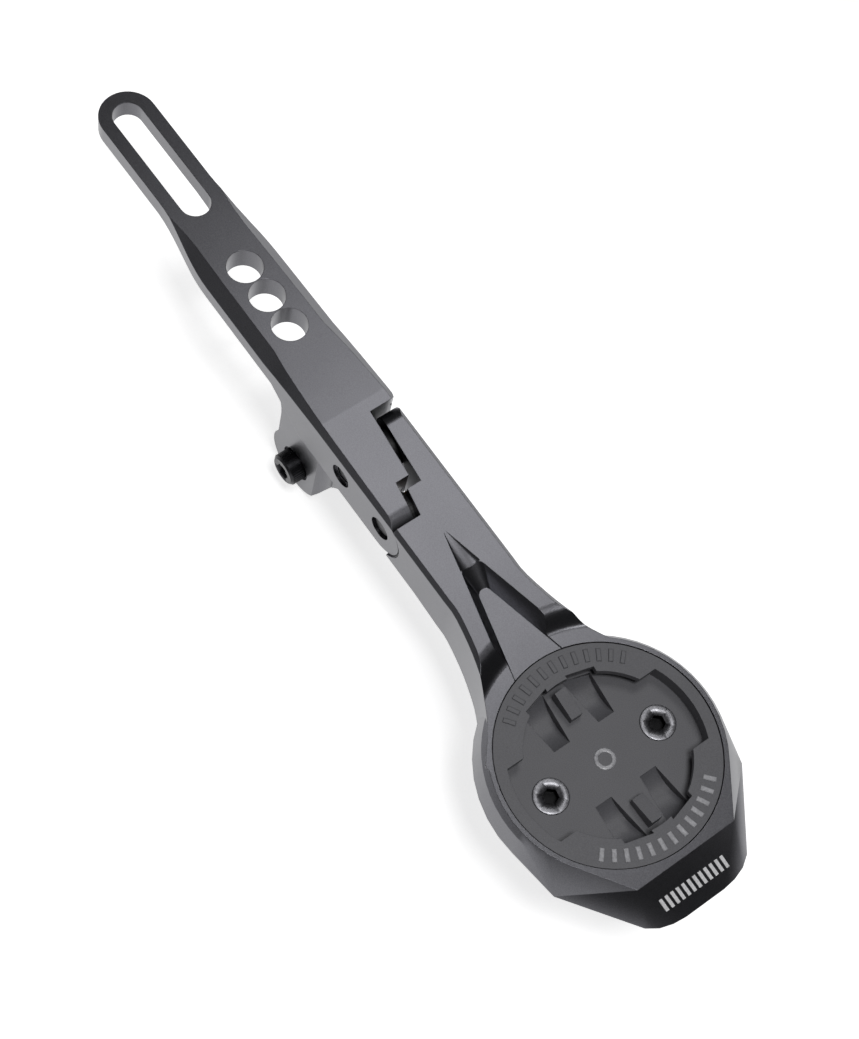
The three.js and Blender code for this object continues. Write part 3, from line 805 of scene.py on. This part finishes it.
# ---- hardware -----------------------------------------------------------------------------
@dataclass
class Hardware:
    """Cross screws, pin, washers, nut and bushing.

    Attributes:
        ribs: knurl ribs round the lug screw's head.
    """

    ribs: int = 40

    def turned(self, node: str, section: Section, body: Body, socket_mm: float) -> bpy.types.Object:
        """A turned piece along Y in place of a CAD node.

        Args:
            node: the CAD node.
            section: (radius, y) pairs in millimetres.
            body: the body it rides on.
            socket_mm: hexagon socket across flats, 0 for none; it opens at the section's first end.

        Returns:
            The finished piece.
        """
        name = node + "_turned"
        spot = centre(node)
        turn = Matrix.Rotation(-math.pi / 2, 4, "X")
        at = Matrix.Translation((spot.x, 0, spot.z)) @ turn
        piece = mesh_object(name, finish_mesh(revolved(section, steps=64), name))
        piece.data.transform(at)
        if socket_mm:
            face = section[0][1]
            corner = socket_mm / 2 / math.cos(math.pi / 6) * MM
            where = at @ Matrix.Translation((0, 0, face * MM)) @ Matrix.Rotation(0.3, 4, "Z")
            cut_socket(piece, corner, 2.6 * MM, where)
        dress(piece, BLACK_OXIDE)
        return place(piece, body, Slot.BLACK, node)

    def lug_screw(self) -> None:
        """Socket cap screw across the lug, with its knurled head."""
        low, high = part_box("lug_screw")
        face, end = low[1] / MM, high[1] / MM
        radius = (high[0] - low[0]) / 2 / MM
        body, shank, back = radius - 0.1, 1.5, face + 3.0
        section = [(0, face), (body - 0.35, face), (body, face + 0.35), (body, back - 0.05)]
        section += [(shank, back), (shank, end - 0.3), (shank - 0.3, end), (0, end)]
        self.turned("lug_screw", section, Body.LUG_BOLT, 2.5)
        rib = bar(length=0.16, width=0.2, height=2.3)
        spot = centre("lug_screw")
        turn = Matrix.Rotation(-math.pi / 2, 4, "X")
        at = Matrix.Translation((spot.x, low[1] + 0.45 * MM, spot.z)) @ turn
        sweep = 360.0 * (self.ribs - 1) / self.ribs
        pattern = Pattern("lug_screw_knurl", self.ribs, body, sweep_deg=sweep)
        place(pattern.build(rib, BLACK_OXIDE, at), Body.LUG_BOLT, Slot.BLACK)

    def lock_screw(self) -> None:
        """Low-head screw that clamps the tilt."""
        low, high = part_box("lock_screw")
        face, end = high[1] / MM, low[1] / MM
        radius = (high[0] - low[0]) / 2 / MM
        shank, back = 1.5, face - 2.0
        section = [(0, face), (radius - 0.3, face), (radius, face - 0.3), (radius, back + 0.05)]
        section += [(shank, back), (shank, end + 0.35), (shank - 0.35, end), (0, end)]
        self.turned("lock_screw", section, Body.LOCK, 2.5)

    def pivot_pin(self) -> None:
        """Ground pivot pin with chamfered ends."""
        low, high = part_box("pivot_pin")
        radius = (high[0] - low[0]) / 2 / MM
        start, end = low[1] / MM, high[1] / MM
        section = [(0, start), (radius - 0.45, start), (radius, start + 0.3), (radius, end - 0.3)]
        section += [(radius - 0.45, end), (0, end)]
        self.turned("pivot_pin", section, Body.REAR, 0.0)

    def carried_over(self) -> None:
        """Dresses the CAD nodes that stay: washers, bushing and nut."""
        for node, finish in (
            ("pivot_washer", ACETAL),
            ("lock_washer", ACETAL),
            ("pivot_bushing", BRONZE),
            ("lug_nut", STAINLESS),
        ):
            dress(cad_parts[node], finish)
            LOG.info("%s dressed", node)

    def build(self) -> None:
        """Builds all the hardware."""
        self.lug_screw()
        self.lock_screw()
        self.pivot_pin()
        self.carried_over()


# ---- nose print ---------------------------------------------------------------------------
@dataclass
class NosePrint:
    """A plain row of slanted white bars on the nose's front face, with its sizes in millimetres.

    Attributes:
        count: number of bars.
        pitch: distance between bars.
        tall: height of a bar, up the face.
        wide: width of a bar.
        slant: how far a bar's upper end leans sideways.
        ink: how far the ink stands proud of the face, and how far its lower side is sunk.
        low: how far the row lies below the face's middle.
        aside: how far the row lies to the side of it.
        above: height from which the print is let down onto the face.
    """

    count: int = 12
    pitch: float = 1.03
    tall: float = 2.4
    wide: float = 0.55
    slant: float = 0.5
    ink: float = 0.03
    low: float = 0.4
    aside: float = 0.45
    above: float = 4.0

    def build(self) -> None:
        """Builds the print and lays it on the face."""
        arm = bpy.data.objects["front_arm_machined"].data
        faces = [f for f in arm.polygons if f.normal.x > 0.5 and abs(f.normal.y) < 0.1 and f.normal.z > 0.2]
        front = max(faces, key=lambda f: f.area)
        normal = Vector(front.normal)
        up = Vector((-normal.z, 0, normal.x)).normalized()
        side = up.cross(normal)
        spot = sum((arm.vertices[i].co for i in front.vertices), Vector()) / len(front.vertices)
        spot -= normal * normal.dot(spot - arm.vertices[front.vertices[0]].co)
        spot.y = 0
        axes = Matrix((up, -side, normal)).transposed().to_4x4()
        span = self.pitch * (self.count - 1) / 2 * MM
        row = Matrix.Translation((0, -span + self.aside * MM, 0))
        at = Matrix.Translation(spot - up * self.low * MM) @ axes @ row
        template = bar(self.tall, self.wide, self.ink, slant=self.slant)
        pattern = Pattern("nose_print_bars", self.count, pitch_mm=self.pitch)
        piece = pattern.build(template, INK, at)
        self.drape(piece, bpy.data.objects["front_arm_machined"], normal)
        place(piece, Body.FRONT, Slot.INSERT)

    def drape(self, piece: bpy.types.Object, under: bpy.types.Object, out: Vector) -> None:
        """Lays the print's corners on the surface below them.

        Args:
            piece: the print; its upper corners end proud of the surface, and the lower ones sunk.
            under: the object that it lies on.
            out: the face's outward direction.
        """
        level = sum((vert.co.dot(out) for vert in piece.data.vertices)) / len(piece.data.vertices)
        for vert in piece.data.vertices:
            lift = self.ink if vert.co.dot(out) > level else -self.ink
            hit, spot, _, _ = under.ray_cast(vert.co + out * self.above * MM, -out)
            if hit:
                vert.co = spot + out * lift * MM


# ---- studio -------------------------------------------------------------------------------
@dataclass
class Studio:
    """Floor, lights and camera.

    Attributes:
        azimuth: camera azimuth in degrees; 0 looks along +Y.
        elevation: camera elevation in degrees.
        roll: camera roll in degrees.
        distance: camera to its aim point, in metres.
        aim: aim point in millimetres from the tilt pivot.
        lens: focal length for a 36 mm wide sensor.
        glow: how strongly the light table under the paper shines through.
        glow_middle: where its middle lies behind the origin, in millimetres.
        glow_reach: radius that it lights evenly, in millimetres.
    """

    azimuth: float = 36.75
    elevation: float = 65.65
    roll: float = -18.76
    distance: float = 0.3323
    aim: tuple[float, float, float] = (2.8, 0.65, -0.35)
    lens: float = 92.35
    glow: float = 0.74
    glow_middle: float = 50.0
    glow_reach: float = 125.0

    def camera(self) -> None:
        """Makes the camera and sets it as the scene's."""
        az, el = math.radians(self.azimuth), math.radians(self.elevation)
        ahead = Vector((-math.sin(az) * math.cos(el), math.cos(az) * math.cos(el), -math.sin(el)))
        level = ahead.cross(Vector((0, 0, 1))).normalized()
        rise = level.cross(ahead)
        turn = math.radians(self.roll)
        up = rise * math.cos(turn) + level * math.sin(turn)
        right = ahead.cross(up)
        pivot = centre("pivot_pin")
        target = Vector((pivot.x, 0, pivot.z)) + Vector(self.aim) * MM
        data = bpy.data.cameras.new("camera")
        data.sensor_fit = "HORIZONTAL"
        data.sensor_width = 36
        data.lens = self.lens
        data.clip_start = 0.01
        eye = bpy.data.objects.new("camera", data)
        axes = Matrix((right, up, -ahead)).transposed().to_4x4()
        eye.matrix_world = Matrix.Translation(target - ahead * self.distance) @ axes
        bpy.context.scene.collection.objects.link(eye)
        bpy.context.scene.camera = eye

    def light(
        self, name: str, toward: tuple[float, float, float], away: float, size: float, power: float
    ) -> None:
        """Adds a square soft light that faces the hinge.

        Args:
            name: the light's name.
            toward: direction from the hinge to the light.
            away: its distance in metres.
            size: its side in metres.
            power: its power in watts.
        """
        data = bpy.data.lights.new(name, "AREA")
        data.shape = "SQUARE"
        data.size = size
        data.energy = power
        lamp = bpy.data.objects.new(name, data)
        aim = Vector((centre("pivot_pin").x, 0, 0))
        where = Vector(toward).normalized()
        facing = where.to_track_quat("Z", "Y").to_matrix().to_4x4()
        lamp.matrix_world = Matrix.Translation(aim + where * away) @ facing
        bpy.context.scene.collection.objects.link(lamp)

    def floor(self) -> None:
        """A plain pale floor just under the part, lit from below round the part."""
        bm = bmesh.new()
        bmesh.ops.create_grid(bm, x_segments=8, y_segments=8, size=2.5)
        drop = Matrix.Translation((0, 0, CAD_BOX[0][2] - 0.3 * MM))
        bmesh.ops.transform(bm, matrix=drop, verts=bm.verts)
        mesh = bpy.data.meshes.new("floor")
        bm.to_mesh(mesh)
        bm.free()
        floor = mesh_object("floor", mesh)
        material = bpy.data.materials.new("matt white paper sweep")
        material.use_nodes = True
        tree = material.node_tree
        shader = tree.nodes["Principled BSDF"]
        shader.inputs["Base Color"].default_value = linear("f4f4f4")
        shader.inputs["Roughness"].default_value = 1.0
        shader.inputs["Specular IOR Level"].default_value = 0.1
        shader.inputs["Emission Color"].default_value = (1, 1, 1, 1)
        spot = add_node(tree, "ShaderNodeTexCoord").outputs["Object"]
        middle = add_node(tree, "ShaderNodeVectorMath", i0=spot, i1=(self.glow_middle * MM, 0.0, 0.0))
        away = add_node(tree, "ShaderNodeVectorMath", {"operation": "LENGTH"}, i0=middle.outputs[0])
        glow = add_node(
            tree,
            "ShaderNodeMapRange",
            {"interpolation_type": "SMOOTHSTEP"},
            Value=away.outputs["Value"],
            From_Min=self.glow_reach * MM,
            From_Max=self.glow_reach * 1.5 * MM,
            To_Min=self.glow,
            To_Max=0.0,
        )
        tree.links.new(glow.outputs[0], shader.inputs["Emission Strength"])
        mesh.materials.append(material)

    def build(self) -> None:
        """Sets the studio up."""
        self.floor()
        self.camera()
        self.light("key_softbox", toward=(0.24, -0.03, 1.0), away=1.2, size=0.35, power=5.6)
        self.light("top_softbox", toward=(-0.27, 0.33, 0.9), away=0.9, size=0.3, power=0.92)
        self.light("low_card", toward=(-0.25, -0.9, 0.35), away=0.8, size=0.5, power=0.2)
        world = bpy.data.worlds.new("studio")
        world.use_nodes = True
        room = world.node_tree.nodes["Background"].inputs
        room["Color"].default_value = (0.3, 0.3, 0.31, 1)
        room["Strength"].default_value = 0.16
        bpy.context.scene.world = world
        bpy.context.scene.view_settings.view_transform = "Standard"


def main() -> None:
    """Builds every sub-assembly in order, then the studio."""
    logging.basicConfig(level=logging.INFO, format="%(name)s %(message)s")
    MachinedArm("rear_arm", "rear_arm_machined", Body.REAR).build()
    MachinedArm("front_arm", "front_arm_machined", Body.FRONT).build()
    QuarterTurnInsert().build()
    Hardware().build()
    NosePrint().build()
    Studio().build()


if __name__ == "__main__":
    main()
